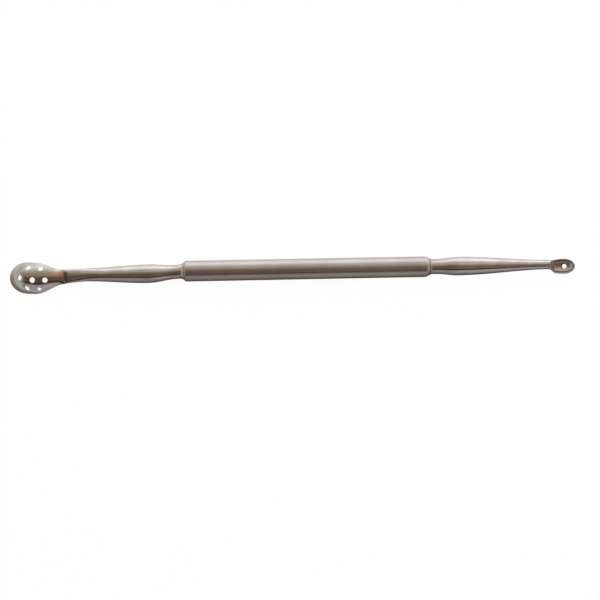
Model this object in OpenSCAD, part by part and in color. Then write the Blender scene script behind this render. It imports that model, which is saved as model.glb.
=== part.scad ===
// Double-ended blackhead extractor. A slim steel tube is the handle. A perforated
// spoon is brazed into one end and a small cup with one hole into the other.
// X runs along the handle, with the cup at +X and the spoon at -X. +Z is the side
// that the back of the spoon and the hollow of the cup face. The origin is the
// middle of the handle's axis. Sizes are in millimetres and angles in degrees.

/* [Handle] */
// Length of the handle tube
handle_len = 59.1; // [40:0.1:90]
// Outside diameter of the handle tube
handle_d = 5; // [4.8:0.1:7]
// Bore of the handle tube
bore_d = 3; // [2:0.1:3.2]
// Length of the chamfer at the spoon's end of the tube
spoon_chamfer_len = 0.5; // [0.3:0.05:2]
// Length of the chamfer at the cup's end of the tube
cup_chamfer_len = 0.9; // [0.3:0.05:2]
// Depth of both chamfers
chamfer_depth = 0.5; // [0.2:0.05:0.5]

/* [Joints] */
// Length of the tang that each tip has inside the tube
tang_len = 8; // [4:0.5:18]
// Gap all round between tang and bore
tang_gap = 0.02; // [0.01:0.005:0.05]
// Length of the braze fillet on the spoon's neck
spoon_fillet_len = 0.85; // [0.3:0.05:1.2]
// Length of the braze fillet on the cup's neck
cup_fillet_len = 0.55; // [0.3:0.05:1.2]

/* [Spoon neck] */
// Diameter of the neck where it leaves the tube
spoon_waist_d = 3.36; // [3.3:0.02:3.7]
// Length of the straight collar beside the tube
spoon_collar_len = 2; // [1.6:0.1:4]
// Largest diameter of the neck
spoon_bulge_d = 4.46; // [3.8:0.02:4.8]
// Distance from the tube to that largest diameter
spoon_bulge_at = 8.4; // [6:0.1:12]
// Distance from the tube to the start of the flattened blade
flat_from = 17.4; // [13:0.1:19]
// Distance from the tube to the crease where the spoon starts
spoon_neck_len = 28.5; // [25:0.1:36]
// Width of the blade at its narrowest
blade_w = 3.1; // [2.4:0.02:3.6]
// Width of the blade at the crease
tail_w = 3.5; // [2.6:0.02:4]
// Thickness of the blade beside the spoon
blade_t = 1.16; // [0.9:0.02:1.8]
// Length over which the blade rounds down into the crease
crease_len = 1; // [0.5:0.1:2]
// Depth of the crease under the blade's top
crease_depth = 0.18; // [0.05:0.01:0.3]
// Sideways set of the bowl against the handle
spoon_set = 1.05; // [-1.2:0.05:1.2]

/* [Spoon bowl] */
// Width of the bowl
bowl_w = 7.52; // [6.4:0.02:10]
// Length from the widest place to the nose
nose_len = 4.5; // [4:0.05:6.5]
// Length from the widest place back to the crease
taper_len = 8.8; // [7:0.1:12]
// Height of the bowl's back over its rim
bowl_depth = 2.6; // [1.6:0.05:3.2]
// Wall at the rim of the bowl
bowl_wall = 0.5; // [0.35:0.05:0.8]
// Downward pitch of the bowl, which brings its nose level with the underside of the tube
bowl_pitch = 10.5; // [2:0.1:14]
// Diameter of the middle hole in the spoon
middle_hole_d = 1.45; // [0.8:0.05:1.7]
// Diameter of the holes round it
ring_hole_d = 1.2; // [0.8:0.05:1.5]
// Number of holes round the middle one
ring_holes = 6; // [4:1:6]
// Radius of the ring of holes
hole_ring_r = 2.98; // [2.4:0.02:3.2]
// Turn of the ring of holes
hole_turn = 6; // [-15:1:15]
// Distance of the middle hole from the widest place, towards the neck
hole_back = 1.8; // [0.6:0.1:2.4]
// Sideways offset of the hole pattern
hole_side = 0.1; // [-0.2:0.05:0.2]
// Further sideways offset of the middle hole
middle_side = 0.25; // [-0.4:0.05:0.4]

/* [Cup] */
// Diameter of the cup's neck where it leaves the tube
cup_waist_d = 3.64; // [3.3:0.02:3.7]
// Length of the straight collar beside the tube
cup_collar_len = 1.6; // [1.3:0.1:4]
// Largest diameter of the neck
cup_bulge_d = 4.5; // [3.8:0.02:4.8]
// Distance from the tube to that largest diameter
cup_bulge_at = 6.9; // [5:0.1:12]
// Diameter of the neck beside the cup
cup_stem_d = 2.28; // [1.8:0.02:2.8]
// Distance from the tube to the edge where the hollow starts
cup_neck_len = 29.9; // [24:0.1:36]
// Width of the cup
cup_w = 3.66; // [3.2:0.02:5]
// Length from the edge of the hollow to the tip
cup_len = 5.7; // [5:0.1:8]
// Depth of the cup over its back
cup_depth = 1.3; // [1:0.05:1.6]
// Wall of the cup
cup_wall = 0.28; // [0.2:0.02:0.4]
// Height of the cup's rim over the tool's axis
cup_rim_h = 0.2; // [-0.2:0.05:0.4]
// Sideways offset of the cup from the tool's axis
cup_set = 0.5; // [-0.6:0.05:0.6]
// Diameter of the hole through the cup
cup_hole_d = 1.1; // [0.6:0.05:1.4]
// Distance of that hole from the widest place, towards the tip
cup_hole_out = 0.35; // [0:0.05:0.8]

/* [Hidden] */

satin_steel = [0.72, 0.71, 0.70];
polished_steel = [0.82, 0.81, 0.80];
braze_metal = [0.88, 0.83, 0.74];

clean = 0.05;       // overlap that keeps a cut clean
turned_fn = 96;
end_face_r = handle_d / 2 - chamfer_depth;

// Smooth change from a to b while t goes from 0 to 1, level at both ends
function ease(a, b, t) = a + (b - a) * (1 - cos(180 * min(1, max(0, t)))) / 2;

// Radius of a neck at distance x from the tube: collar, bulge, then stem
function neck_r(x, collar, waist_d, bulge_at, bulge_d, stem_at, stem_d) =
    x < bulge_at
    ? ease(waist_d, bulge_d, (x - collar) / (bulge_at - collar)) / 2
    : ease(bulge_d, stem_d, (x - bulge_at) / (stem_at - bulge_at)) / 2;

// The tips are drawn outwards along +x from the tube's end and carried to their ends
module at_cup_end() {
    translate([handle_len / 2, 0, 0]) children();
}

module at_spoon_end() {
    mirror([1, 0, 0]) at_cup_end() children();
}

// Solid turned about x from [distance, radius] points
module turned(profile) {
    rotate([0, 90, 0])
        rotate_extrude($fn = turned_fn)
            polygon([for (p = profile) [p[1], p[0]]]);
}

// Closed skin over rings that all have the same number of points, brought to a tip
module loft(rings, tip) {
    last = len(rings) - 1;
    count = len(rings[0]);
    skin = [
        for (i = [0:last - 1], j = [0:count - 1])
            let (
                a = i * count + j,
                b = i * count + (j + 1) % count,
                c = b + count,
                d = a + count
            )
            each [[a, d, c], [a, c, b]]
    ];
    start_cap = [[for (j = [0:count - 1]) j]];
    tip_fan = [
        for (j = [0:count - 1])
            [(last + 1) * count, last * count + (j + 1) % count, last * count + j]
    ];
    polyhedron(
        points = concat([for (ring = rings) each ring], [tip]),
        faces = concat(start_cap, skin, tip_fan)
    );
}

// Profile of the tang, with a lead chamfer, up to the shoulder that meets the tube
function tang_profile() =
    let (r = bore_d / 2 - tang_gap, lead = 0.3)
    [[-tang_len, 0], [-tang_len, r - lead], [lead - tang_len, r], [0, r]];

// Ring of braze with a hollow face, in the corner between the tube and a neck
module braze_fillet(waist_d, length) {
    inner_r = waist_d / 2;
    edge = 0.02;
    foot_r = end_face_r - edge;
    drop = foot_r - inner_r - edge;
    turned(concat(
        [[0, inner_r]],
        [for (a = [0:9:90]) [length * (1 - cos(a)), foot_r - drop * sin(a)]],
        [[length, inner_r]]
    ));
}

// Handle: a drawn tube with a chamfer on each end
module handle_tube() {
    half = handle_len / 2;
    color(satin_steel)
        difference() {
            turned([
                [-half, 0],
                [-half, end_face_r],
                [spoon_chamfer_len - half, handle_d / 2],
                [half - cup_chamfer_len, handle_d / 2],
                [half, end_face_r],
                [half, 0]
            ]);
            rotate([0, 90, 0])
                cylinder(d = bore_d, h = handle_len + 2 * clean, center = true, $fn = turned_fn);
        }
}

// Spoon tip

stem_w_at = spoon_neck_len - 4.6;    // where the neck has come down to the blade's width
flank_len = 1.8;                     // length of the bowl's parallel part behind its widest place
blade_root = 2.2;                    // length over which the blade fades out under the bowl
tail_crown = 0.42;                   // height of the bowl's back over its rim at the crease
solid_tail = 1.6;                    // length beside the crease that has no hollow
rim_h = blade_t / 2 - crease_depth - tail_crown;
drill_depth = 12;                    // depth under the rim where all hole axes meet
seat = 0.3;                          // overlap of the blade with the turned neck

function spoon_neck_r(x) = neck_r(
    x, spoon_collar_len, spoon_waist_d, spoon_bulge_at, spoon_bulge_d, stem_w_at, blade_w
);

// Half thickness of the blade, from round to flat
function blade_half_t(x) = ease(
    spoon_neck_r(x), blade_t / 2, (x - flat_from) / (spoon_neck_len - crease_len - flat_from)
);

// Drop of the blade's top as it rounds down into the crease
function crease_drop(x) = crease_depth * pow(max(0, (x - spoon_neck_len) / crease_len + 1), 2);

// The bowl is drawn from its widest place: u runs towards the nose
function bowl_u(x) = x - spoon_neck_len - taper_len;
function bowl_half(u) =
    u > 0
    ? bowl_w / 2 * sqrt(max(0, 1 - pow(u / nose_len, 2)))
    : ease(tail_w, bowl_w, (u + taper_len) / (taper_len - flank_len)) / 2;

// The blade widens again between its narrowest place and the crease
function blade_half_w(x) =
    let (t = max(0, (x - stem_w_at) / (spoon_neck_len - stem_w_at)))
    spoon_neck_r(x) + (tail_w - blade_w) / 2 * pow(t, 2);

// Height of the middle of a dome that ends at nose and tail
function crown(u, depth, nose, tail, tail_h) =
    u > 0
    ? depth * max(0, 1 - pow(u / nose, 2))
    : u > -tail ? depth - (depth - tail_h) * pow(-u / tail, 1.3) : tail_h;

function back_crown(u) = crown(u, bowl_depth, nose_len, taper_len, tail_crown);
function hollow_crown(u) =
    crown(u, bowl_depth - bowl_wall, nose_len - bowl_wall, taper_len - solid_tail, 0);
function rim_half(half) = max(half - bowl_wall, 0.3 * half);
function rim_line(x) = rim_h - tan(bowl_pitch) * (x - spoon_neck_len);

// Centre line of the blade and bowl, which are set a little to one side
function set_line(x) =
    -ease(0, spoon_set, (x - flat_from) / (spoon_neck_len + taper_len / 2 - flat_from));

// One ring of the spoon: across its back from edge to edge, then back under it
function spoon_ring(x) =
    let (
        n = 18,
        u = bowl_u(x),
        in_bowl = x >= spoon_neck_len,
        half = in_bowl ? bowl_half(u) : blade_half_w(x) * (x < flat_from + seat ? 0.997 : 1),
        fade = in_bowl ? ease(blade_t / 2, 0, (x - spoon_neck_len) / blade_root) : 0
    )
    [
        for (j = [0:n])
            let (v = cos(180 * j / n))
            [x, set_line(x) + half * v,
             in_bowl
             ? rim_line(x) + back_crown(u) * (1 - v * v)
             : (blade_half_t(x) - crease_drop(x)) * sqrt(1 - v * v)],
        for (j = [1:n - 1])
            let (v = -cos(180 * (in_bowl ? j - 1 : j) / (in_bowl ? n - 2 : n)))
            [x, set_line(x) + (in_bowl ? rim_half(half) : half) * v,
             in_bowl
             ? rim_line(x) + (hollow_crown(u) - fade) * (1 - v * v)
             : -blade_half_t(x) * sqrt(1 - v * v)]
    ];

// Blade and bowl as one skin, with its rings closer together at the crease and the nose
module spoon_skin() {
    start = flat_from - seat;
    blade_end = spoon_neck_len - crease_len;
    nose_x = spoon_neck_len + taper_len + nose_len;
    rings = [
        for (t = [0:1 / 14:0.99]) spoon_ring(start + (blade_end - start) * t),
        for (t = [0:1 / 4:0.99]) spoon_ring(blade_end + crease_len * t),
        for (t = [0:1 / 14:0.99]) spoon_ring(spoon_neck_len + taper_len * t),
        for (a = [0:8:80]) spoon_ring(nose_x - nose_len * (1 - sin(a)))
    ];
    loft(rings, [nose_x, set_line(nose_x), rim_line(nose_x)]);
}

// Holes through the bowl, their axes fanning out from one point under it and pitched with it
module spoon_holes() {
    mid_x = spoon_neck_len + taper_len - hole_back;
    spots = [
        [0, -middle_side, middle_hole_d],
        for (i = [0:ring_holes - 1])
            let (a = 360 * i / ring_holes + hole_turn)
            [hole_ring_r * cos(a), hole_ring_r * sin(a), ring_hole_d]
    ];
    translate([mid_x, set_line(mid_x) - hole_side, rim_line(mid_x)])
        rotate([0, bowl_pitch, 0])
            translate([0, 0, -drill_depth])
                for (p = spots)
                    let (lean = atan(norm([p[0], p[1]]) / (drill_depth + 0.6 * bowl_depth)))
                    rotate([0, lean, atan2(p[1], p[0])])
                        cylinder(d = p[2], h = 2 * (drill_depth + bowl_depth), $fn = 48);
}

// Tang, collar and round part of the neck, turned in one piece
module spoon_shank() {
    turned(concat(
        tang_profile(),
        [
            for (t = [0:1 / 30:1])
                let (x = flat_from * t)
                [x, spoon_neck_r(x)]
        ],
        [[flat_from, 0]]
    ));
}

// Spoon tip: one forged piece from the tang to the nose
module spoon_tip() {
    color(polished_steel)
        at_spoon_end()
            union() {
                spoon_shank();
                difference() {
                    spoon_skin();
                    spoon_holes();
                }
            }
}

// Cup tip

cup_half = cup_w / 2;
cup_mid = cup_neck_len + cup_len / 2;
// The back of the cup is turned about an axis that lies over its rim
cup_turn_r = (pow(cup_half, 2) + pow(cup_depth, 2)) / (2 * cup_depth);
cup_turn_h = cup_turn_r - cup_depth;
cup_heel_half = cup_stem_d / 2;
lip_back = 0.6;     // the neck's end slopes down to the rim over this length
root_len = 2.2;     // rounded end of the neck under the cup

// Half width of the cup's outline at distance u from its widest place, tip side positive
function cup_outline(u) =
    let (round_share = sqrt(max(0, 1 - pow(abs(2 * u / cup_len), u > 0 ? 2.4 : 2))))
    u > 0
    ? cup_half * round_share
    : cup_heel_half + (cup_half - cup_heel_half) * round_share;

// Body turned about the cup's own axis, drawn in by a wall
module cup_egg(wall) {
    out = cup_len / 2 - wall;
    turned(concat(
        [[-cup_len / 2, 0]],
        [
            for (a = [180:-7.5:0])
                let (u = (a > 90 ? cup_len / 2 : out) * cos(a))
                [u, norm([cup_outline(a > 90 ? u : u * cup_len / 2 / out), cup_turn_h]) - wall]
        ],
        [[out, 0]]
    ));
}

module at_cup() {
    translate([cup_mid, -cup_set, cup_rim_h + cup_turn_h]) children();
}

// Tang and neck turned out to the edge of the hollow, with a rounded root under the cup
module cup_shank() {
    turned(concat(
        tang_profile(),
        [
            for (t = [0:1 / 40:1])
                let (x = cup_neck_len * t)
                [x, neck_r(x, cup_collar_len, cup_waist_d, cup_bulge_at, cup_bulge_d,
                           cup_neck_len, cup_stem_d)]
        ],
        [for (a = [15:15:90]) [cup_neck_len + root_len * sin(a), cup_stem_d / 2 * cos(a)]]
    ));
}

// Takes away all that is over the rim, back to the sloping end of the neck
module over_rim() {
    far = cup_neck_len + cup_len + 1;
    top = cup_rim_h + 2 * cup_turn_r;
    slope = lip_back * (top - cup_rim_h) / (cup_stem_d / 2 - cup_rim_h);
    translate([0, cup_w, 0])
        rotate([90, 0, 0])
            linear_extrude(2 * cup_w)
                polygon([
                    [cup_neck_len, cup_rim_h],
                    [far, cup_rim_h],
                    [far, top],
                    [cup_neck_len - slope, top]
                ]);
}

// Cup tip: tang, neck and dished cup, forged as one piece
module cup_tip() {
    color(polished_steel)
        at_cup_end()
            difference() {
                union() {
                    cup_shank();
                    at_cup() cup_egg(0);
                }
                over_rim();
                at_cup() cup_egg(cup_wall);
                translate([cup_mid + cup_hole_out, -cup_set, -cup_w])
                    cylinder(d = cup_hole_d, h = 2 * cup_w, $fn = 48);
            }
}

// Braze rings

module spoon_braze_ring() {
    color(braze_metal) at_spoon_end() braze_fillet(spoon_waist_d, spoon_fillet_len);
}

module cup_braze_ring() {
    color(braze_metal) at_cup_end() braze_fillet(cup_waist_d, cup_fillet_len);
}

handle_tube();
spoon_tip();
cup_tip();
spoon_braze_ring();
cup_braze_ring();
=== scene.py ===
import bpy
from math import cos, hypot, pi, radians, sin, sqrt, tan
from mathutils import Matrix, Vector


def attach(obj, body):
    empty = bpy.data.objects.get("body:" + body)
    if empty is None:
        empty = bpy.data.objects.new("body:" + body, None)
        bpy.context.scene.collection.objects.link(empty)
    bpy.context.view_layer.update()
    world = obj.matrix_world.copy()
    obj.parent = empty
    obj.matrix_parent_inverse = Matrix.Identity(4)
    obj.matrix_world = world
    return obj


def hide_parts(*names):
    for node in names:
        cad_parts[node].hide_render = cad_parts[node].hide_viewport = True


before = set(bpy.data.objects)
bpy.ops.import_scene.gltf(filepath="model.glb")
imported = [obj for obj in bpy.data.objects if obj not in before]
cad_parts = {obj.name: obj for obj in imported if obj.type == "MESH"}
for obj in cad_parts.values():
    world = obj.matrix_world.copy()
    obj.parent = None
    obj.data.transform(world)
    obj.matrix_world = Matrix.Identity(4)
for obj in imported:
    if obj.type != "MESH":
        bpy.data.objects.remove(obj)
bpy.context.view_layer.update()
mm = 0.001
print("frame loaded")


def linear(hexColor):
    channels = [int(hexColor[i:i + 2], 16) / 255 for i in (0, 2, 4)]
    return [c / 12.92 if c <= 0.04045 else ((c + 0.055) / 1.055) ** 2.4 for c in channels] + [1]


def grey(level):
    return (level, level, level, 1)


def feed(tree, node, inputs):
    # each input gets a link where it is given a socket, and otherwise a value
    for key, value in inputs.items():
        if isinstance(value, bpy.types.NodeSocket):
            tree.links.new(value, node.inputs[key])
        else:
            node.inputs[key].default_value = value


def addNode(tree, kind, settings=None, inputs=None):
    node = tree.nodes.new(kind)
    for key, value in (settings or {}).items():
        setattr(node, key, value)
    feed(tree, node, inputs or {})
    return node


def setStops(ramp, stops, span=(0, 1), interpolation="LINEAR"):
    # the stops stand at places between the two ends of the span
    low, high = span
    shares = [((place - low) / (high - low), color) for place, color in stops]
    ramp.color_ramp.interpolation = interpolation
    elements = ramp.color_ramp.elements
    while len(elements) > 1:
        elements.remove(elements[-1])
    elements[0].position, elements[0].color = shares[0]
    for share, color in shares[1:]:
        elements.new(share).color = color


def toneStops(metal):
    return [(place, linear(metal[shade])) for place, shade in zip(metal["toneSpan"], ("dark", "light"))]


def startMaterial(name):
    material = bpy.data.materials.new(name)
    material.use_nodes = True
    return material, material.node_tree, material.node_tree.nodes["Principled BSDF"]


def deselectAll():
    if bpy.context.object and bpy.context.object.mode != "OBJECT":
        bpy.ops.object.mode_set(mode="OBJECT")
    bpy.ops.object.select_all(action="DESELECT")


def pick(piece):
    deselectAll()
    piece.select_set(True)
    bpy.context.view_layer.objects.active = piece


def nameActive(name):
    piece = bpy.context.object
    piece.name = name
    piece.data.name = name
    return piece


def applyModifiers(piece):
    pick(piece)
    for modifier in list(piece.modifiers):
        bpy.ops.object.modifier_apply(modifier=modifier.name)


def dress(piece, smoothUpTo, material, node):
    pick(piece)
    bpy.ops.object.shade_smooth_by_angle(angle=radians(smoothUpTo))
    piece.data.materials.clear()
    piece.data.materials.append(material)
    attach(piece, "root")
    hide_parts(node)


def ease(x, start, end, a, b):
    # from a at the start to b at the end, slow at both
    share = min(1, max(0, (x - start) / (end - start)))
    return a + (b - a) * (1 - cos(pi * share)) / 2


def spinProfile(name, points, steps=128):
    # one vertex drawn out along the profile, then spun about the handle's axis
    deselectAll()
    bpy.ops.mesh.primitive_plane_add(size=mm, location=(0, 0, 0))
    piece = nameActive(name)
    bpy.ops.object.mode_set(mode="EDIT")
    bpy.ops.mesh.select_all(action="SELECT")
    bpy.ops.mesh.merge(type="CENTER")
    x, r = points[0]
    bpy.ops.transform.translate(value=(x * mm, 0, r * mm))
    for nextX, nextR in points[1:]:
        bpy.ops.mesh.extrude_region_move(
            TRANSFORM_OT_translate={"value": ((nextX - x) * mm, 0, (nextR - r) * mm)})
        x, r = nextX, nextR
    bpy.ops.mesh.select_all(action="SELECT")
    bpy.ops.mesh.spin(steps=steps, angle=2 * pi, center=(0, 0, 0), axis=(1, 0, 0))
    bpy.ops.mesh.select_all(action="SELECT")
    bpy.ops.mesh.remove_doubles(threshold=1e-7)
    bpy.ops.mesh.normals_make_consistent(inside=False)
    bpy.ops.object.mode_set(mode="OBJECT")
    return piece


def wrapGrid(name, rings):
    # a grid wrapped round the rings, its seam and ends merged shut
    count = len(rings[0])
    deselectAll()
    bpy.ops.mesh.primitive_grid_add(x_subdivisions=len(rings) - 1, y_subdivisions=count, size=1)
    piece = nameActive(name)
    for vertex in piece.data.vertices:
        i = round((vertex.co.x + 0.5) * (len(rings) - 1))
        j = round((vertex.co.y + 0.5) * count)
        vertex.co = Vector(rings[i][j % count]) * mm
    bpy.ops.object.mode_set(mode="EDIT")
    bpy.ops.mesh.select_all(action="SELECT")
    bpy.ops.mesh.remove_doubles(threshold=2e-7)
    bpy.ops.mesh.normals_make_consistent(inside=False)
    bpy.ops.object.mode_set(mode="OBJECT")
    return piece


# Camera, fitted to the ends of the tool and of its handle in the picture

camera = {
    "distance": 260, "lean": 0.04776, "roll": 1.06,     # mm, share sideways, degrees
    "lens": 64.8, "sensorWidth": 36, "shift": (-0.01242, -0.05183), "clipStart": 5,
}
lean = camera["lean"]
upright = sqrt(1 - lean ** 2)
roll = radians(camera["roll"])
right = Vector((upright, 0, lean))
up = Vector((0, 1, 0))
back = Vector((-lean, 0, upright))
right, up = right * cos(roll) - up * sin(roll), right * sin(roll) + up * cos(roll)
bpy.ops.object.camera_add()
cameraObject = bpy.context.object
cameraObject.name = "pictureCamera"
cameraObject.matrix_world = Matrix((
    (right.x, up.x, back.x, back.x * camera["distance"] * mm),
    (right.y, up.y, back.y, back.y * camera["distance"] * mm),
    (right.z, up.z, back.z, back.z * camera["distance"] * mm),
    (0, 0, 0, 1)))
cameraObject.data.lens = camera["lens"]
cameraObject.data.sensor_width = camera["sensorWidth"]
cameraObject.data.shift_x, cameraObject.data.shift_y = camera["shift"]
cameraObject.data.clip_start = camera["clipStart"] * mm
bpy.context.scene.camera = cameraObject
print("camera placed")


# nearly all of a noise texture lies between these
noiseLow, noiseHigh = 0.3, 0.7

# Satin steel: stainless tube ground between wheels, so its fine grain runs round it. The eye gets
# soft bands along the tube, a faint ripple across them and a left end dulled by the brazing heat.

satin = {
    "light": "C4C0BD", "dark": "BAB5B2", "toneSpan": (0.3, 0.7), "cloudSize": 6,
    "grainPitch": 0.22, "grainLength": 5,   # mm; the real grain is 0.03 mm wide, so it is drawn coarser
    "grainShade": (0.95, 1.03), "grainHeight": 0.0015, "grainStrength": 0.3,
    "roughness": (0.28, 0.38), "anisotropic": 0.45, "quarterTurn": 0.25,
    "heat": "7C7266", "heatShare": 0.55, "heatFrom": -29.1, "heatTo": -29.5,
}
satinSteel, tree, surface = startMaterial("satinSteel")
place = addNode(tree, "ShaderNodeTexCoord")
along = 1 / (satin["grainPitch"] * mm)
around = 1 / (satin["grainLength"] * mm)
grainPlace = addNode(tree, "ShaderNodeMapping", inputs={
    "Vector": place.outputs["Object"], "Scale": (along, around, around)})
grain = addNode(tree, "ShaderNodeTexNoise", inputs={
    "Vector": grainPlace.outputs["Vector"], "Scale": 1, "Detail": 3, "Roughness": 0.6})
clouds = addNode(tree, "ShaderNodeTexNoise", inputs={
    "Vector": place.outputs["Object"], "Scale": 1 / (satin["cloudSize"] * mm),
    "Detail": 4, "Roughness": 0.55})
tone = addNode(tree, "ShaderNodeValToRGB", inputs={"Fac": clouds.outputs["Fac"]})
setStops(tone, toneStops(satin), interpolation="EASE")
lines = addNode(tree, "ShaderNodeMapRange", inputs={
    "Value": grain.outputs["Fac"], "From Min": noiseLow, "From Max": noiseHigh,
    "To Min": satin["grainShade"][0], "To Max": satin["grainShade"][1]})
shade = addNode(tree, "ShaderNodeMix", {"data_type": "RGBA", "blend_type": "MULTIPLY"}, {
    "Factor": 1.0, 6: tone.outputs["Color"], 7: lines.outputs["Result"]})
split = addNode(tree, "ShaderNodeSeparateXYZ", inputs={"Vector": place.outputs["Object"]})
heat = addNode(tree, "ShaderNodeMapRange", {"interpolation_type": "SMOOTHSTEP"}, {
    "Value": split.outputs["X"], "From Min": satin["heatFrom"] * mm, "From Max": satin["heatTo"] * mm,
    "To Min": 0.0, "To Max": satin["heatShare"]})
tinted = addNode(tree, "ShaderNodeMix", {"data_type": "RGBA"}, {
    "Factor": heat.outputs["Result"], 6: shade.outputs[2], 7: linear(satin["heat"])})
gloss = addNode(tree, "ShaderNodeMapRange", inputs={
    "Value": grain.outputs["Fac"], "From Min": noiseLow, "From Max": noiseHigh,
    "To Min": satin["roughness"][0], "To Max": satin["roughness"][1]})
ripple = addNode(tree, "ShaderNodeBump", inputs={
    "Height": grain.outputs["Fac"], "Strength": satin["grainStrength"],
    "Distance": satin["grainHeight"] * mm})
turning = addNode(tree, "ShaderNodeTangent", {"direction_type": "RADIAL", "axis": "X"})
feed(tree, surface, {
    "Metallic": 1, "Anisotropic": satin["anisotropic"], "Anisotropic Rotation": satin["quarterTurn"],
    "Base Color": tinted.outputs[2], "Roughness": gloss.outputs["Result"],
    "Normal": ripple.outputs["Normal"], "Tangent": turning.outputs["Tangent"]})


# Polished steel: forged stainless, buffed by hand. The eye gets crisp bands that
# waver a little, hairline scratches, a straw tint where the brazing heat reached, a brown stain beside
# the spoon's crease, painted shade along that crease, painted reflection bands across the spoon's bowl,
# a slightly darker cup, and duller ends where the bowls are only brushed.

polish = {
    "light": "CECCCA", "dark": "C0BEBB", "toneSpan": (0.32, 0.68), "cloudSize": 2.381,
    "roughness": (0.03, 0.09), "stainRoughness": 0.25,
    "waveSize": 3.2, "waveHeight": 0.02, "dimpleSize": 0.7, "dimpleHeight": 0.0022,
    "hairWidth": 0.16, "hairLength": 4.5,   # mm; real hairlines are 0.01 mm wide, so they are drawn coarser
    "hairTurn": 4, "hairHeight": 0.0012, "hairStrength": 0.5,
    "heat": "9A8E78", "heatShare": 0.4, "heatRagged": 3,
    "heatFrom": 29.55, "heatReach": 4.6,    # the tube's end, and how far the tint goes out from it
    # the crease colour here is painted shade, the dark band along the spoon's crease
    "stain": "C89A7A", "paintedCreaseShade": "454040", "patchMiddle": -0.7, "patchHalf": 1.35, "patchEdge": 0.5,
    "ragged": 1.6,          # how far the clouds move the tones' edges, in mm
    # the tones across the spoon below are painted reflection bands
    "paintedReflectionSpan": (-5, 3),
    "paintedReflection": [            # painted reflection bands across the spoon, in mm from the handle's axis
        (-5, "E2E0DE"), (-2.4, "E6E3E1"), (-2, "B0A698"), (-0.8, "B5A894"), (0.2, "A4957F"),
        (1.2, "A59E94"), (2.4, "C2C0BD"), (3, "CECCCA"),
    ],
    "cupTone": "EDE9E2", "cupFrom": 59, "cupTo": 60.2,
    "shares": {             # how much of each there is, at places in mm along the handle's axis
        # how much of the painted reflection bands each place along the spoon gets
        "paintedReflection": {
            "span": (-72, -58), "ragged": False, "interpolation": "EASE",
            "stops": [(-69.4, 0), (-67.6, 0.9), (-61, 0.85), (-59.4, 0)],
        },
        "stain": {
            "span": (-62, -56), "ragged": True, "interpolation": "LINEAR",
            "stops": [(-61.8, 0), (-60.2, 0.45), (-59.2, 0.8), (-57.6, 0.9), (-57.2, 0)],
        },
        # painted shade along the spoon's crease
        "paintedCreaseShade": {
            "span": (-62, -56), "ragged": False, "interpolation": "LINEAR",
            "stops": [(-58.12, 0), (-58.08, 0.75), (-57.3, 0.6), (-57.1, 0)],
        },
        "dulled": {         # as added roughness
            "span": (-75, 75), "ragged": False, "interpolation": "LINEAR",
            "stops": [
                (-75, 0.07), (-62, 0.05), (-57, 0),
                (58.5, 0), (58.9, 0.45), (59.6, 0.4), (60.3, 0.24), (75, 0.24),
            ],
        },
    },
}
polishedSteel, tree, surface = startMaterial("polishedSteel")
place = addNode(tree, "ShaderNodeTexCoord")
split = addNode(tree, "ShaderNodeSeparateXYZ", inputs={"Vector": place.outputs["Object"]})
clouds = addNode(tree, "ShaderNodeTexNoise", inputs={
    "Vector": place.outputs["Object"], "Scale": 1 / (polish["cloudSize"] * mm),
    "Detail": 5, "Roughness": 0.6})
tone = addNode(tree, "ShaderNodeValToRGB", inputs={"Fac": clouds.outputs["Fac"]})
setStops(tone, toneStops(polish), interpolation="EASE")

# places with the clouds added, so that what begins or ends at them has a ragged edge
unevenness = addNode(tree, "ShaderNodeMath", {"operation": "SUBTRACT"}, {0: clouds.outputs["Fac"], 1: 0.5})
raggedAlong = addNode(tree, "ShaderNodeMath", {"operation": "MULTIPLY_ADD"}, {
    0: unevenness.outputs["Value"], 1: polish["ragged"] * mm, 2: split.outputs["X"]})
raggedAcross = addNode(tree, "ShaderNodeMath", {"operation": "MULTIPLY_ADD"}, {
    0: unevenness.outputs["Value"], 1: polish["ragged"] * mm, 2: split.outputs["Y"]})
distance = addNode(tree, "ShaderNodeMath", {"operation": "ABSOLUTE"}, {0: split.outputs["X"]})
raggedDistance = addNode(tree, "ShaderNodeMath", {"operation": "MULTIPLY_ADD"}, {
    0: unevenness.outputs["Value"], 1: polish["heatRagged"] * mm, 2: distance.outputs["Value"]})

shares = {}
for name, graph in polish["shares"].items():
    spanShare = addNode(tree, "ShaderNodeMapRange", inputs={
        "Value": raggedAlong.outputs["Value"] if graph["ragged"] else split.outputs["X"],
        "From Min": graph["span"][0] * mm, "From Max": graph["span"][1] * mm})
    ramp = addNode(tree, "ShaderNodeValToRGB", inputs={"Fac": spanShare.outputs["Result"]})
    setStops(ramp, [(x, grey(share)) for x, share in graph["stops"]], graph["span"], graph["interpolation"])
    shares[name] = ramp.outputs["Color"]

heat = addNode(tree, "ShaderNodeMapRange", {"interpolation_type": "SMOOTHSTEP"}, {
    "Value": raggedDistance.outputs["Value"], "From Min": polish["heatFrom"] * mm,
    "From Max": (polish["heatFrom"] + polish["heatReach"]) * mm,
    "To Min": polish["heatShare"], "To Max": 0.0})
heated = addNode(tree, "ShaderNodeMix", {"data_type": "RGBA"}, {
    "Factor": heat.outputs["Result"], 6: tone.outputs["Color"], 7: linear(polish["heat"])})
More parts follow.
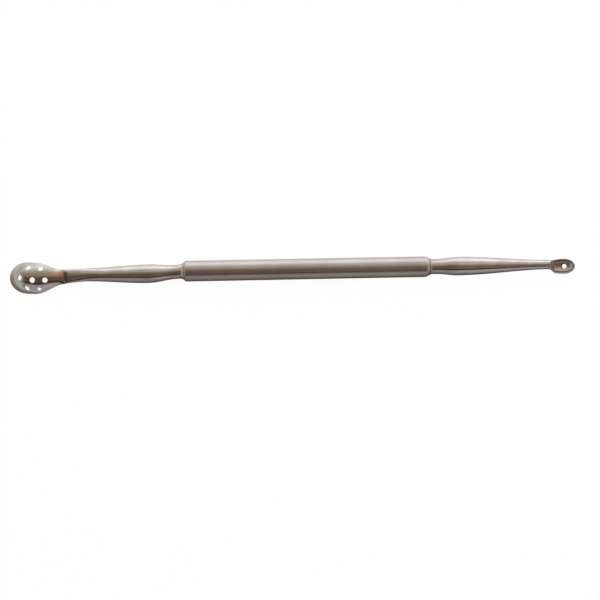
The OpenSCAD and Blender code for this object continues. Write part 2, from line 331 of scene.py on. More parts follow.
# painted reflection bands across the spoon's bowl, mixed in along its length
acrossShare = addNode(tree, "ShaderNodeMapRange", inputs={
    "Value": raggedAcross.outputs["Value"],
    "From Min": polish["paintedReflectionSpan"][0] * mm, "From Max": polish["paintedReflectionSpan"][1] * mm})
paintedReflectionTone = addNode(tree, "ShaderNodeValToRGB", inputs={"Fac": acrossShare.outputs["Result"]})
setStops(paintedReflectionTone, [(y, linear(color)) for y, color in polish["paintedReflection"]], polish["paintedReflectionSpan"])
paintedReflection = addNode(tree, "ShaderNodeMix", {"data_type": "RGBA"}, {
    "Factor": shares["paintedReflection"], 6: heated.outputs[2], 7: paintedReflectionTone.outputs["Color"]})
cupShare = addNode(tree, "ShaderNodeMapRange", inputs={
    "Value": split.outputs["X"], "From Min": polish["cupFrom"] * mm, "From Max": polish["cupTo"] * mm})
cupTinted = addNode(tree, "ShaderNodeMix", {"data_type": "RGBA", "blend_type": "MULTIPLY"}, {
    "Factor": cupShare.outputs["Result"], 6: paintedReflection.outputs[2], 7: linear(polish["cupTone"])})
offMiddle = addNode(tree, "ShaderNodeMath", {"operation": "SUBTRACT"}, {
    0: raggedAcross.outputs["Value"], 1: polish["patchMiddle"] * mm})
offMiddleAway = addNode(tree, "ShaderNodeMath", {"operation": "ABSOLUTE"}, {0: offMiddle.outputs["Value"]})
patchShare = addNode(tree, "ShaderNodeMapRange", {"interpolation_type": "SMOOTHSTEP"}, {
    "Value": offMiddleAway.outputs["Value"], "From Min": (polish["patchHalf"] - polish["patchEdge"]) * mm,
    "From Max": polish["patchHalf"] * mm, "To Min": 1.0, "To Max": 0.0})
stainShare = addNode(tree, "ShaderNodeMath", {"operation": "MULTIPLY"}, {
    0: shares["stain"], 1: patchShare.outputs["Result"]})
stained = addNode(tree, "ShaderNodeMix", {"data_type": "RGBA"}, {
    "Factor": stainShare.outputs["Value"], 6: cupTinted.outputs[2], 7: linear(polish["stain"])})
# painted shade along the spoon's crease, held to the same middle patch as the stain
paintedCreaseShadeShare = addNode(tree, "ShaderNodeMath", {"operation": "MULTIPLY"}, {
    0: shares["paintedCreaseShade"], 1: patchShare.outputs["Result"]})
paintedCreaseShaded = addNode(tree, "ShaderNodeMix", {"data_type": "RGBA"}, {
    "Factor": paintedCreaseShadeShare.outputs["Value"], 6: stained.outputs[2], 7: linear(polish["paintedCreaseShade"])})

gloss = addNode(tree, "ShaderNodeMapRange", inputs={
    "Value": clouds.outputs["Fac"], "From Min": noiseLow, "From Max": noiseHigh,
    "To Min": polish["roughness"][0], "To Max": polish["roughness"][1]})
wornGloss = addNode(tree, "ShaderNodeMath", {"operation": "ADD"}, {
    0: gloss.outputs["Result"], 1: shares["dulled"]})
stainGloss = addNode(tree, "ShaderNodeMath", {"operation": "MULTIPLY_ADD"}, {
    0: stainShare.outputs["Value"], 1: polish["stainRoughness"], 2: wornGloss.outputs["Value"]})

waves = addNode(tree, "ShaderNodeTexNoise", inputs={
    "Vector": place.outputs["Object"], "Scale": 1 / (polish["waveSize"] * mm),
    "Detail": 1, "Roughness": 0.4})
waveBump = addNode(tree, "ShaderNodeBump", inputs={
    "Height": waves.outputs["Fac"], "Strength": 1, "Distance": polish["waveHeight"] * mm})
dimples = addNode(tree, "ShaderNodeTexNoise", inputs={
    "Vector": place.outputs["Object"], "Scale": 1 / (polish["dimpleSize"] * mm),
    "Detail": 2, "Roughness": 0.5})
dimpleBump = addNode(tree, "ShaderNodeBump", inputs={
    "Height": dimples.outputs["Fac"], "Strength": 1, "Distance": polish["dimpleHeight"] * mm,
    "Normal": waveBump.outputs["Normal"]})
along = 1 / (polish["hairLength"] * mm)
across = 1 / (polish["hairWidth"] * mm)
hairPlace = addNode(tree, "ShaderNodeMapping", inputs={
    "Vector": place.outputs["Object"], "Rotation": (0, 0, radians(polish["hairTurn"])),
    "Scale": (along, across, across)})
hairs = addNode(tree, "ShaderNodeTexNoise", inputs={
    "Vector": hairPlace.outputs["Vector"], "Scale": 1, "Detail": 2, "Roughness": 0.5})
hairBump = addNode(tree, "ShaderNodeBump", inputs={
    "Height": hairs.outputs["Fac"], "Strength": polish["hairStrength"],
    "Distance": polish["hairHeight"] * mm, "Normal": dimpleBump.outputs["Normal"]})
feed(tree, surface, {
    "Metallic": 1, "Base Color": paintedCreaseShaded.outputs[2], "Roughness": stainGloss.outputs["Value"],
    "Normal": hairBump.outputs["Normal"]})


# Silver braze: a pale alloy that flowed and set, so it is duller and slightly lumpy.

braze = {
    "light": "D0CBC3", "dark": "A79C8B", "toneSpan": (0.35, 0.6), "roughness": (0.2, 0.36),
    "lumpSize": 0.5, "lumpHeight": 0.02,
}
silverBraze, tree, surface = startMaterial("silverBraze")
place = addNode(tree, "ShaderNodeTexCoord")
lumps = addNode(tree, "ShaderNodeTexNoise", inputs={
    "Vector": place.outputs["Object"], "Scale": 1 / (braze["lumpSize"] * mm), "Detail": 3, "Roughness": 0.55})
tone = addNode(tree, "ShaderNodeValToRGB", inputs={"Fac": lumps.outputs["Fac"]})
setStops(tone, toneStops(braze), interpolation="EASE")
gloss = addNode(tree, "ShaderNodeMapRange", inputs={
    "Value": lumps.outputs["Fac"], "From Min": noiseLow, "From Max": noiseHigh,
    "To Min": braze["roughness"][1], "To Max": braze["roughness"][0]})
lumpBump = addNode(tree, "ShaderNodeBump", inputs={
    "Height": lumps.outputs["Fac"], "Strength": 1, "Distance": braze["lumpHeight"] * mm})
feed(tree, surface, {
    "Metallic": 1, "Base Color": tone.outputs["Color"], "Roughness": gloss.outputs["Result"],
    "Normal": lumpBump.outputs["Normal"]})
print("metals mixed")


# Handle tube, with softened chamfers and its bore

tube = {
    "length": 59.1, "radius": 2.5, "bore": 1.5, "chamferDepth": 0.5,
    "leftRound": (0.55, 0.45), "rightChamfer": 0.9, "chamferEnd": 2, "soften": 0.3, "softPoints": 6,
    "wallEnd": 26, "wallStep": 4, "smoothUpTo": 40,
}
half = tube["length"] / 2
endRadius = tube["radius"] - tube["chamferDepth"]


def chamferedEnd(chamfer):
    # bore, end face and chamfer, with both of the chamfer's corners rounded
    corners = [
        (0, tube["bore"]), (0, endRadius), (chamfer, tube["radius"]), (tube["chamferEnd"], tube["radius"])]
    outline = [corners[0]]
    for before, corner, after in zip(corners, corners[1:], corners[2:]):
        a = Vector(corner) + (Vector(before) - Vector(corner)).normalized() * tube["soften"]
        b = Vector(corner) + (Vector(after) - Vector(corner)).normalized() * tube["soften"]
        for k in range(tube["softPoints"] + 1):
            t = k / tube["softPoints"]
            point = a * (1 - t) ** 2 + Vector(corner) * 2 * t * (1 - t) + b * t ** 2
            outline.append((point.x, point.y))
    return outline


def roundedEnd(length, depth):
    # the other end was rolled over more roundly
    edge = tube["radius"] - depth
    return [(0, tube["bore"])] + [
        (length * (1 - cos(radians(a))), edge + depth * sin(radians(a))) for a in range(0, 91, 9)]


leftEnd = [(x - half, r) for x, r in roundedEnd(*tube["leftRound"])]
wall = [(x, tube["radius"]) for x in range(-tube["wallEnd"], tube["wallEnd"] + 1, tube["wallStep"])]
rightEnd = [(half - x, r) for x, r in reversed(chamferedEnd(tube["rightChamfer"]))]
handleTube = spinProfile("handleTube", leftEnd + wall + rightEnd + [leftEnd[0]])
dress(handleTube, tube["smoothUpTo"], satinSteel, "handle_tube")
print("handle tube spun")


# Both tips: a tang in the tube, then a skin of sections. Their lengths are in mm from the tube's end.

forged = {
    "tangLength": 8, "tangClearance": 0.02, "tangChamfer": 0.3, "neckStep": 0.35,
    "edgeAngle": 7.5, "arcSteps": 22, "edgeSteps": 7,   # a section's side edge, and its points
    "punchSides": 56, "softSegments": 2, "softFrom": 42, "smoothUpTo": 38,
}
tangRadius = tube["bore"] - forged["tangClearance"]
edgeShare = cos(radians(forged["edgeAngle"]))


def neckRadius(x, part):
    # collar, bulge, then stem
    if x < part["bulgeAt"]:
        return ease(x, part["collar"], part["bulgeAt"], part["waist"], part["bulge"]) / 2
    return ease(x, part["bulgeAt"], part["stemAt"], part["bulge"], part["stem"]) / 2


def halfSection(top, bottom, bulge):
    # right half of a section, from the top's middle over the edge to the bottom's middle
    arc, edge = forged["arcSteps"], forged["edgeSteps"]
    upper = [top(sin(pi / 2 * i / arc)) for i in range(arc + 1)]
    lower = [bottom(sin(pi / 2 * i / arc)) for i in range(arc, -1, -1)]
    (y0, z0), (y1, z1) = upper[-1], lower[0]
    out = Vector((-(z1 - z0), y1 - y0)).normalized() * bulge
    side = []
    for k in range(1, edge + 1):
        s = k / (edge + 1)
        side.append((y0 + (y1 - y0) * s + out.x * sin(pi * s), z0 + (z1 - z0) * s + out.y * sin(pi * s)))
    return upper + side + lower


def roundHalf(width, height, depth):
    # oval section with its own half width, height over and depth under the axis
    return halfSection(
        lambda v: (width * v * edgeShare, height * sqrt(1 - (v * edgeShare) ** 2)),
        lambda v: (width * v * edgeShare, -depth * sqrt(1 - (v * edgeShare) ** 2)),
        width * (1 - edgeShare))


def blendedHalf(x, seam, reach, before, after):
    # one kind of section turns into the other over the reach about the seam
    turn = (x - seam) / reach + 0.5
    if turn <= 0:
        return before(x)
    if turn >= 1:
        return after(x)
    return [
        (ya + (yb - ya) * turn, za + (zb - za) * turn) for (ya, za), (yb, zb) in zip(before(x), after(x))]


def wholeRing(x, middle, points):
    rightSide = [(x, middle + y, z) for y, z in points]
    leftSide = [(x, middle - y, z) for y, z in points[-2:0:-1]]
    return rightSide + leftSide


def neckSpots(upTo):
    return [forged["neckStep"] * k for k in range(1, int(upTo / forged["neckStep"]) + 1)]


def forgeTip(name, part, side, spots, middleLine, section, end):
    # the skin from the tang to the tip's end, both drawn to a point, on its own side of the handle
    tang = [
        (-forged["tangLength"], tangRadius - forged["tangChamfer"]),
        (forged["tangChamfer"] - forged["tangLength"], tangRadius), (0, tangRadius), (0, part["waist"] / 2)]
    rings = [wholeRing(x, 0, roundHalf(r, r, r)) for x, r in tang]
    rings += [wholeRing(x, middleLine(x), section(x)) for x in spots]
    count = len(rings[0])
    rings = [[(-forged["tangLength"], 0, 0)] * count] + rings + [[end] * count]
    return wrapGrid(name, [[(side * (half + x), y, z) for x, y, z in ring] for ring in rings])


def addPunch(width, depth, stand):
    deselectAll()
    bpy.ops.mesh.primitive_cylinder_add(
        vertices=forged["punchSides"], radius=width / 2 * mm, depth=depth * mm)
    punch = nameActive("punch")
    punch.matrix_world = stand
    return punch


def punchHoles(piece, punches, softEdge):
    # all the punches at once, and then the sharp edges are eased
    deselectAll()
    for punch in punches:
        punch.select_set(True)
    bpy.context.view_layer.objects.active = punches[0]
    if len(punches) > 1:
        bpy.ops.object.join()
    cut = piece.modifiers.new("holes", "BOOLEAN")
    cut.operation = "DIFFERENCE"
    cut.solver = "EXACT"
    cut.object = punches[0]
    applyModifiers(piece)
    bpy.data.objects.remove(punches[0])
    soften = piece.modifiers.new("softEdge", "BEVEL")
    soften.width = softEdge * mm
    soften.segments = forged["softSegments"]
    soften.limit_method = "ANGLE"
    soften.angle_limit = radians(forged["softFrom"])
    applyModifiers(piece)


# Spoon tip: round neck, flattened blade and holed bowl in one skin

spoon = {
    "waist": 3.36, "collar": 2, "bulge": 4.46, "bulgeAt": 8.4, "stem": 3.1, "stemAt": 23.9,
    "flatFrom": 17.4, "neckLength": 28.5, "bladeThickness": 1.16, "seamReach": 0.3,
    "creaseLength": 1, "creaseDepth": 0.2, "creaseCurve": 1.6,
    "bow": 0.45, "bowSpan": (-3, 9.5), "set": 0.6, "setSpan": (22, 34), "back": 0.13, "backSpan": (35, 39),
    "width": 7.52, "nose": 4.5, "taper": 8.8, "tailWidth": 3.5, "flank": 1.8, "pitch": 10.5,
    "depth": 2.6, "wall": 0.5, "noseCurve": 2.4, "tailCurve": 0.65, "tailSoft": 0.04,
    "tailCrown": 0.42, "solidTail": 1.6, "bladeRoot": 2.2, "lip": 0.1, "leastShare": 0.3, "lipShare": 0.5,
    "evenUpTo": 27, "bowlSteps": 52, "noseStep": 3,
    "creaseSpots": [        # closer sections about the crease, in mm from it
        -1.2, -1, -0.85, -0.7, -0.55, -0.42, -0.3, -0.2, -0.12, -0.05, 0, 0.05, 0.12, 0.2, 0.32,
    ],
    "punchDepth": 6, "punchLift": 1, "drillDepth": 14, "softEdge": 0.05,
    "holes": [              # place along, place across and width of each, drilled a little unevenly
        (35.86, -1.45, 1.32), (38.72, -0.9, 1.24), (37.3, -3.35, 1.16), (34.42, -3.65, 0.88),
        (33.03, -1.52, 1.2), (34.05, 1.23, 1.24), (36.95, 1.47, 1.26),
    ],
}
spoonWidest = spoon["neckLength"] + spoon["taper"]
spoonNose = spoonWidest + spoon["nose"]
rimHeight = spoon["bladeThickness"] / 2 - spoon["creaseDepth"] - spoon["tailCrown"]


def rimLine(x):
    return rimHeight - tan(radians(spoon["pitch"])) * (x - spoon["neckLength"])


def setLine(x):
    # the neck bows to one side beside the tube and again before the bowl, whose nose comes back a little
    sideways = ease(x, *spoon["bowSpan"], 0, spoon["bow"]) + ease(x, *spoon["setSpan"], 0, spoon["set"])
    return ease(x, *spoon["backSpan"], 0, spoon["back"]) - sideways


def spoonOutline(u):
    if u > 0:
        return spoon["width"] / 2 * sqrt(max(0, 1 - (u / spoon["nose"]) ** 2))
    return ease(u, -spoon["taper"], -spoon["flank"], spoon["tailWidth"], spoon["width"]) / 2


def crown(u, depth, nose, tail, tailHeight):
    # height of the dome's middle line, full at its widest place
    if u > 0:
        return depth * max(0, 1 - (u / nose) ** spoon["noseCurve"])
    if u <= -tail:
        return tailHeight
    soft, curve = spoon["tailSoft"], spoon["tailCurve"]
    run = (((-u / tail) ** 2 + soft) ** curve - soft ** curve) / ((1 + soft) ** curve - soft ** curve)
    return depth - (depth - tailHeight) * run


def bladeHalf(x):
    radius = neckRadius(x, spoon)
    creaseFrom = spoon["neckLength"] - spoon["creaseLength"]
    thick = ease(x, spoon["flatFrom"], creaseFrom, radius, spoon["bladeThickness"] / 2)
    intoCrease = max(0, (x - spoon["neckLength"]) / spoon["creaseLength"] + 1)
    drop = spoon["creaseDepth"] * intoCrease ** spoon["creaseCurve"]
    spread = max(0, (x - spoon["stemAt"]) / (spoon["neckLength"] - spoon["stemAt"])) ** 2
    return roundHalf(radius + (spoon["tailWidth"] - spoon["stem"]) / 2 * spread, thick - drop, thick)


def spoonBowl(x):
    u = x - spoonWidest
    out = spoonOutline(u)
    inner = max(out - spoon["wall"], spoon["leastShare"] * out)
    rim = rimLine(x)
    lip = min(spoon["lip"], spoon["lipShare"] * out)
    back = crown(u, spoon["depth"], spoon["nose"], spoon["taper"], spoon["tailCrown"])
    hollow = crown(u, spoon["depth"] - spoon["wall"], spoon["nose"] - spoon["wall"],
                   spoon["taper"] - spoon["solidTail"], 0)
    bladeEnd = spoon["neckLength"] + spoon["bladeRoot"]
    under = hollow - ease(x, spoon["neckLength"], bladeEnd, spoon["bladeThickness"] / 2, 0)
    return halfSection(
        lambda v: (out * v, rim + lip + (max(back, lip) - lip) * (1 - v * v)),
        lambda v: (inner * v, rim + lip + (under - lip) * (1 - v * v)),
        lip)


def spoonHalf(x):
    return blendedHalf(x, spoon["neckLength"], spoon["seamReach"], bladeHalf, spoonBowl)


bowlFrom = spoon["creaseSpots"][-1]
bowlStep = (spoon["taper"] - bowlFrom) / spoon["bowlSteps"]
spots = neckSpots(spoon["evenUpTo"])
spots += [spoon["neckLength"] + s for s in spoon["creaseSpots"]]
spots += [spoon["neckLength"] + bowlFrom + bowlStep * k for k in range(1, spoon["bowlSteps"] + 1)]
spots += [
    spoonNose - spoon["nose"] * (1 - sin(radians(a)))
    for a in range(spoon["noseStep"], 90, spoon["noseStep"])]
spoonEnd = (spoonNose, setLine(spoonNose), rimLine(spoonNose) + spoon["lip"] / 2)
spoonTip = forgeTip("spoonTip", spoon, -1, spots, setLine, spoonHalf, spoonEnd)

# the drill stands nearly square to the dome, so all the holes point to one place under it
middleX, middleY = spoon["holes"][0][:2]
focus = Vector((-half - middleX, middleY, -spoon["drillDepth"]))
punches = []
for x, y, holeWidth in spoon["holes"]:
    spot = Vector((-half - x, y, rimLine(x) + spoon["punchLift"]))
    course = (spot - focus).normalized().to_track_quat("Z", "Y").to_matrix().to_4x4()
    punches.append(addPunch(holeWidth, spoon["punchDepth"], Matrix.Translation(spot * mm) @ course))
punchHoles(spoonTip, punches, spoon["softEdge"])
dress(spoonTip, forged["smoothUpTo"], polishedSteel, "spoon_tip")
print("spoon tip shaped", len(spoonTip.data.polygons))


# Cup tip: round neck and small dished cup in one skin

cup = {
    "waist": 3.64, "collar": 1.6, "bulge": 4.5, "bulgeAt": 6.9, "stem": 2.28, "stemAt": 29.9,
    "neckLength": 29.9, "seamReach": 0.16, "slope": 0.6, "slopeSoft": 0.12, "side": 0.5, "sideReach": 0.9,
    "width": 3.66, "length": 5.7, "endCurve": 2.4, "depth": 1.3, "wall": 0.2, "rimHeight": 0.2,
    "heel": 0.9, "root": 2.2, "lip": 0.08, "leastShare": 0.3, "leastWidth": 0.03, "leastRoot": 0.01,
    "endDrop": 0.005,
    "evenUpTo": 28.8, "bowlFrom": 16, "bowlTo": 176, "bowlStep": 3,     # degrees round the bowl's length
    "heelSpots": [          # closer sections about the heel, in mm from it
        -0.7, -0.6, -0.5, -0.4, -0.3, -0.22, -0.15, -0.08, -0.03, 0.03, 0.08,
    ],
    "punchDepth": 8, "holeWidth": 1.1, "holeOut": 0.6, "softEdge": 0.04,
}
cupMiddle = cup["neckLength"] + cup["length"] / 2
heelHalf = cup["stem"] / 2
# the back of the cup is turned about an axis over its rim, as in the solid
turnHeight = ((cup["width"] / 2) ** 2 + cup["depth"] ** 2) / (2 * cup["depth"]) - cup["depth"]


def cupOutline(u):
    curve = cup["endCurve"] if u > 0 else 2
    share = sqrt(max(0, 1 - abs(2 * u / cup["length"]) ** curve))
    return cup["width"] / 2 * share if u > 0 else heelHalf + (cup["width"] / 2 - heelHalf) * share


def cupMiddleLine(x):
    return -ease(
        x, cup["neckLength"] - cup["sideReach"], cup["neckLength"] + cup["sideReach"], 0, cup["side"])


def softMin(a, b, reach):
    return (a + b - sqrt((a - b) ** 2 + reach ** 2)) / 2


def neckEnd(x):
    # end of the neck, its top planed down towards the rim
    radius = neckRadius(x, cup)
    planed = cup["rimHeight"] + (heelHalf - cup["rimHeight"]) * (cup["neckLength"] - x) / cup["slope"]

    def top(v):
        return softMin(radius * sqrt(1 - (v * edgeShare) ** 2), planed, cup["slopeSoft"])

    return halfSection(
        lambda v: (radius * v * edgeShare, top(v)),
        lambda v: (radius * v * edgeShare, -radius * sqrt(1 - (v * edgeShare) ** 2)),
        radius * (1 - edgeShare))


def cupBowl(x):
    u = max(x - cupMiddle, -cup["length"] / 2)
    out = max(cupOutline(u), cup["leastWidth"])
    turnRadius = hypot(out, turnHeight)
    rootRadius = heelHalf * sqrt(max(0, 1 - (max(0, x - cup["neckLength"]) / cup["root"]) ** 2))
    rim = cup["rimHeight"]
    lip = min(cup["lip"], cup["leastShare"] * (turnRadius - turnHeight))
    stretch = cup["length"] / (cup["length"] - 2 * cup["wall"]) if u > 0 else 1
    innerRadius = hypot(cupOutline(u * stretch), turnHeight) - cup["wall"]
    inner = max(sqrt(max(0, innerRadius ** 2 - turnHeight ** 2)), cup["leastShare"] * out)
    heel = sqrt(max(0, min(1, (x - cup["neckLength"]) / cup["heel"])))

    def hollow(y):
        return max(lip, (sqrt(max(0, innerRadius ** 2 - y * y)) - turnHeight) * heel)

    def under(y):
        root = (rim + rootRadius) * sqrt(max(0, 1 - (y / max(rootRadius, cup["leastRoot"])) ** 2))
        return max(lip, sqrt(turnRadius ** 2 - y * y) - turnHeight, root)

    return halfSection(
        lambda v: (inner * v, rim - hollow(inner * v)),
        lambda v: (out * v, rim - under(out * v)),
        lip)


def cupHalf(x):
    return blendedHalf(x, cup["neckLength"], cup["seamReach"], neckEnd, cupBowl)


spots = neckSpots(cup["evenUpTo"])
spots += [cup["neckLength"] + s for s in cup["heelSpots"]]
spots += [
    cup["neckLength"] + cup["length"] * (1 - cos(radians(a))) / 2
    for a in range(cup["bowlFrom"], cup["bowlTo"], cup["bowlStep"])]
cupEnd = (cup["neckLength"] + cup["length"], -cup["side"], cup["rimHeight"] - cup["endDrop"])
cupTip = forgeTip("cupTip", cup, 1, spots, cupMiddleLine, cupHalf, cupEnd)
spot = Vector((half + cupMiddle + cup["holeOut"], -cup["side"], 0))
punch = addPunch(cup["holeWidth"], cup["punchDepth"], Matrix.Translation(spot * mm))
punchHoles(cupTip, [punch], cup["softEdge"])
dress(cupTip, forged["smoothUpTo"], polishedSteel, "cup_tip")
print("cup tip shaped", len(cupTip.data.polygons))


# Braze rings in the corners between tube and necks, outlined in mm from the tube's end

ringParts = {
    "spoonBrazeRing": {
        "node": "spoon_braze_ring", "side": -1, "waist": spoon["waist"] / 2,
        "outline": [
            (0, 2.04), (0.08, 2.07), (0.17, 2.03), (0.29, 1.97), (0.41, 1.91), (0.53, 1.85), (0.65, 1.8),
            (0.78, 1.76), (0.9, 1.73), (1.05, 1.7), (1.2, 1.68),
        ],
    },
    "cupBrazeRing": {
        "node": "cup_braze_ring", "side": 1, "waist": cup["waist"] / 2,
        "outline": [
            (0, 2.05), (0.08, 2.04), (0.16, 1.99), (0.24, 1.93), (0.34, 1.875), (0.46, 1.84), (0.6, 1.82),
        ],
    },
}
for name, part in ringParts.items():
    profile = [(0, part["waist"])] + part["outline"] + [(0, part["waist"])]
    brazeRing = spinProfile(name, [(part["side"] * (half + x), r) for x, r in profile])
    dress(brazeRing, tube["smoothUpTo"], silverBraze, part["node"])
print("braze rings spun")


# White table. The camera sees it almost evenly white, with a little of the tool's shadow left.

table = {
    "size": 3000, "gap": 0.01, "paper": "FFFFFF", "roughness": 0.9, "specular": 0.1, "evenness": 0.96,
}
deselectAll()
bpy.ops.mesh.primitive_plane_add(
    size=table["size"] * mm, location=(0, 0, -(tube["radius"] + table["gap"]) * mm))
paper = nameActive("paperTable")
whitePaper, tree, surface = startMaterial("whitePaper")
feed(tree, surface, {
    "Base Color": linear(table["paper"]), "Roughness": table["roughness"],
    "Specular IOR Level": table["specular"]})
glow = addNode(tree, "ShaderNodeEmission", inputs={"Color": grey(1), "Strength": 1})
rays = addNode(tree, "ShaderNodeLightPath")
share = addNode(tree, "ShaderNodeMath", {"operation": "MULTIPLY"}, {
    0: rays.outputs["Is Camera Ray"], 1: table["evenness"]})
blend = addNode(tree, "ShaderNodeMixShader", inputs={
    0: share.outputs["Value"], 1: surface.outputs["BSDF"], 2: glow.outputs["Emission"]})
feed(tree, tree.nodes["Material Output"], {"Surface": blend.outputs["Shader"]})
paper.data.materials.append(whitePaper)

# What the metal mirrors in place of the table: pale on the window's side, dusky on the near side,
# grey beyond the spoon, and darker close in, where the tool stands over it.

mirrored = {
    "size": 900, "lift": 0.05, "strength": 1.3,
    "acrossSpan": (-60, 60),
    "across": [
        (-60, "948E8B"), (-25, "8B8684"), (-13, "7C7775"), (-8.7, "676160"), (-5, "534D4B"), (-1, "5A5350"),
        (1, "B4B0AD"), (4, "D2CFCD"), (9, "E6E3E1"), (14, "FFFDFB"), (30, "FFFEFC"), (60, "FFFEFC"),
    ],
    "beyondSpoon": "B6B1AE", "beyondFrom": -66, "beyondTo": -84,
}
deselectAll()
bpy.ops.mesh.primitive_plane_add(
    size=mirrored["size"] * mm, location=(0, 0, (-tube["radius"] + mirrored["lift"]) * mm))
mirroredTable = nameActive("mirroredTable")
bpy.ops.object.transform_apply(location=True, rotation=True, scale=True)
mirroredCard, tree, surface = startMaterial("mirroredCard")
tree.nodes.remove(surface)
place = addNode(tree, "ShaderNodeTexCoord")
split = addNode(tree, "ShaderNodeSeparateXYZ", inputs={"Vector": place.outputs["Object"]})
acrossShare = addNode(tree, "ShaderNodeMapRange", inputs={
    "Value": split.outputs["Y"],
    "From Min": mirrored["acrossSpan"][0] * mm, "From Max": mirrored["acrossSpan"][1] * mm})
acrossTone = addNode(tree, "ShaderNodeValToRGB", inputs={"Fac": acrossShare.outputs["Result"]})
setStops(acrossTone, [(y, linear(color)) for y, color in mirrored["across"]], mirrored["acrossSpan"])
beyond = addNode(tree, "ShaderNodeMapRange", {"interpolation_type": "SMOOTHSTEP"}, {
    "Value": split.outputs["X"],
    "From Min": mirrored["beyondFrom"] * mm, "From Max": mirrored["beyondTo"] * mm})
cardTone = addNode(tree, "ShaderNodeMix", {"data_type": "RGBA"}, {
    "Factor": beyond.outputs["Result"], 6: acrossTone.outputs["Color"], 7: linear(mirrored["beyondSpoon"])})
glow = addNode(tree, "ShaderNodeEmission", inputs={
    "Color": cardTone.outputs[2], "Strength": mirrored["strength"]})
feed(tree, tree.nodes["Material Output"], {"Surface": glow.outputs["Emission"]})
mirroredTable.data.materials.append(mirroredCard)
mirroredTable.visible_camera = False
mirroredTable.visible_diffuse = False
mirroredTable.visible_shadow = False
print("table laid")


# Room round the table, as the metal mirrors it: bright window behind, brown ceiling, grey room in front.
# Degrees are measured from straight up, towards the window where positive.

room = {
    "strength": 1.6, "headroom": 1.5,   # sides may be brighter than a ramp's 1, so they are held under it
    "bands": [
        (-180, "7D7977"), (-105, "7D7776"), (-90, "7A7475"), (-80, "837E7E"), (-70, "8F8584"),
        (-60, "827B7A"), (-52, "5E5551"), (-46, "2C2422"), (-40, "1F1815"), (-33, "63524B"),
        (-20, "615248"), (-8, "584C42"), (0, "625248"), (10, "7D6F64"), (20, "86796F"),
        (30, "9A908A"), (40, "958D87"), (50, "9F9793"), (60, "B2ABA9"), (72, "CFCCCC"),
        (85, "DDDAD9"), (100, "F0EDED"), (115, "E8E5E5"), (180, "DDDBD9"),
    ],
    "sides": [              # tints from the spoon's side to the cup's
        (-90, (1, 1, 1)), (-58, (0.95, 0.95, 0.95)), (-47, (0.42, 0.42, 0.44)), (-37, (0.5, 0.5, 0.52)),
        (-29, (0.95, 0.95, 0.93)), (-6, (1, 1, 1)), (4, (1.1, 1.1, 1.1)), (16, (1.4, 1.38, 1.38)),
        (34, (1.25, 1.2, 1.2)), (52, (0.9, 0.9, 0.9)), (90, (0.9, 0.9, 0.9)),
    ],
    "sidesFadeFrom": 12, "sidesFadeTo": 45, "sidesLeft": 0.4,
    "farSides": [           # colour, and the angles where it begins and is full
        ("AFAAA8", -28, -60), ("AEA5A2", 42, 64),
    ],
}
world = bpy.context.scene.world or bpy.data.worlds.new("room")
bpy.context.scene.world = world
world.use_nodes = True
tree = world.node_tree
place = addNode(tree, "ShaderNodeTexCoord")
split = addNode(tree, "ShaderNodeSeparateXYZ", inputs={"Vector": place.outputs["Generated"]})
height = addNode(tree, "ShaderNodeMath", {"operation": "ARCTAN2"}, {
    0: split.outputs["Y"], 1: split.outputs["Z"]})
heightShare = addNode(tree, "ShaderNodeMapRange", inputs={
    "Value": height.outputs["Value"], "From Min": -pi, "From Max": pi})
bands = addNode(tree, "ShaderNodeValToRGB", inputs={"Fac": heightShare.outputs["Result"]})
setStops(bands, [(a, linear(color)) for a, color in room["bands"]], (-180, 180))
sideAngle = addNode(tree, "ShaderNodeMath", {"operation": "ARCSINE"}, {0: split.outputs["X"]})
sideShare = addNode(tree, "ShaderNodeMapRange", inputs={
    "Value": sideAngle.outputs["Value"], "From Min": -pi / 2, "From Max": pi / 2})
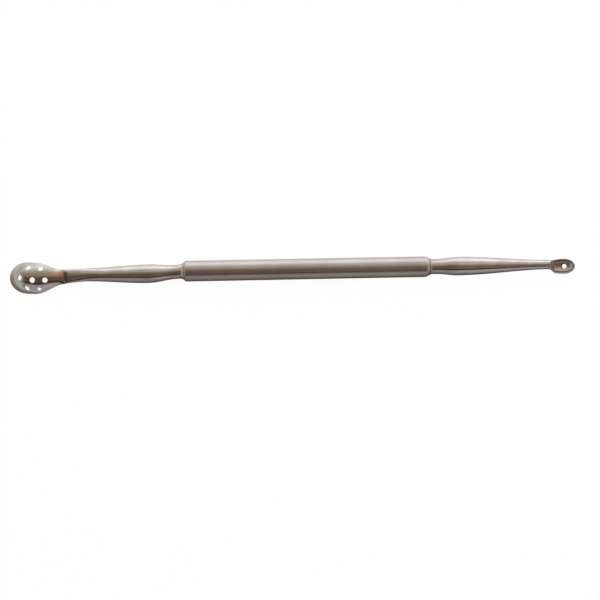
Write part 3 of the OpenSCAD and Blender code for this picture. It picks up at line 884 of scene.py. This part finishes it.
sides = addNode(tree, "ShaderNodeValToRGB", inputs={"Fac": sideShare.outputs["Result"]})
heldSides = [(a, [c / room["headroom"] for c in tint] + [1]) for a, tint in room["sides"]]
setStops(sides, heldSides, (-90, 90), "EASE")
sidesFade = addNode(tree, "ShaderNodeMapRange", {"interpolation_type": "SMOOTHSTEP"}, {
    "Value": height.outputs["Value"], "From Min": radians(room["sidesFadeFrom"]),
    "From Max": radians(room["sidesFadeTo"]), "To Min": 1.0, "To Max": room["sidesLeft"]})
roomColor = addNode(tree, "ShaderNodeMix", {"data_type": "RGBA", "blend_type": "MULTIPLY"}, {
    "Factor": sidesFade.outputs["Result"], 6: bands.outputs["Color"], 7: sides.outputs["Color"]})
for color, begins, isFull in room["farSides"]:
    farShare = addNode(tree, "ShaderNodeMapRange", {"interpolation_type": "SMOOTHSTEP"}, {
        "Value": sideAngle.outputs["Value"], "From Min": radians(begins), "From Max": radians(isFull)})
    roomColor = addNode(tree, "ShaderNodeMix", {"data_type": "RGBA"}, {
        "Factor": farShare.outputs["Result"], 6: roomColor.outputs[2],
        7: [c / room["headroom"] for c in linear(color)[:3]] + [1]})
fullStrength = room["strength"] * room["headroom"]
rays = addNode(tree, "ShaderNodeLightPath")
seen = addNode(tree, "ShaderNodeMix", {"data_type": "RGBA"}, {
    "Factor": rays.outputs["Is Camera Ray"], 6: roomColor.outputs[2], 7: grey(1 / fullStrength)})
feed(tree, tree.nodes["Background"], {"Color": seen.outputs[2], "Strength": fullStrength})

# Soft lamp that lifts the table to a plain level. The metal doesn't mirror it.

lamp = {"power": 3.4, "size": 0.7, "place": (0.05, 0.18, 0.55)}     # watts and metres
deselectAll()
bpy.ops.object.light_add(type="AREA", location=lamp["place"])
lampObject = bpy.context.object
lampObject.name = "softLamp"
lampObject.data.energy = lamp["power"]
lampObject.data.size = lamp["size"]
lampObject.rotation_euler = (-Vector(lamp["place"])).to_track_quat("-Z", "Y").to_euler()
lampObject.visible_glossy = False
bpy.context.scene.view_settings.view_transform = "Standard"
print("room lit")
